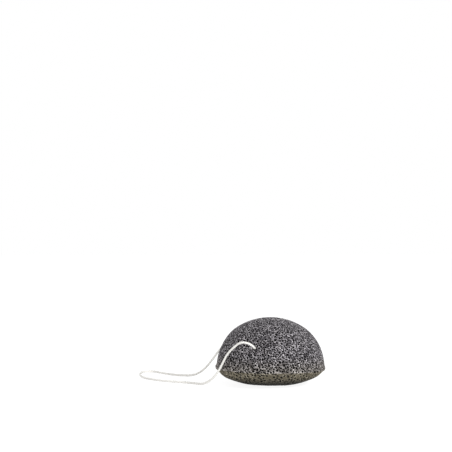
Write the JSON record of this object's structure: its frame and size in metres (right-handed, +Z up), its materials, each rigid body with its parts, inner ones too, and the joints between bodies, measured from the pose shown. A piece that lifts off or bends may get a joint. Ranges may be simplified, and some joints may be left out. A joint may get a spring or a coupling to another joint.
{
  "type": "konjac sponge",
  "caption": "Half-ball konjac face sponge of dark porous foam with a crowned underside and a thin twisted cotton hanging loop threaded through the dome and knotted at the back.",
  "frame": {"origin": "centre of the flat that the underside rests on", "axes": "+Z up to the crown of the dome, -Y the front mouth of the cord tunnel, -X the side that the loop lies on"},
  "size_m": [0.1391, 0.1127, 0.0487],
  "materials": {
    "konjac_foam": "matt open-cell plant-fibre foam coloured with charcoal",
    "cotton_cord": "matt undyed twisted cotton"
  },
  "bodies": {
    "sponge": {"sponge_body": "konjac_foam"},
    "loop": {"tunnel_cord": "cotton_cord", "hanging_loop": "cotton_cord", "cord_knot": "cotton_cord", "long_tail": "cotton_cord", "short_tail": "cotton_cord"}
  },
  "joints": [
    {"name": "loop_swing", "type": "hinge", "parent": "sponge", "child": "loop", "pos_m": [-0.012, 0, 0.029], "axis": [0, 1, 0], "range_deg": [0, 110]}
  ]
}
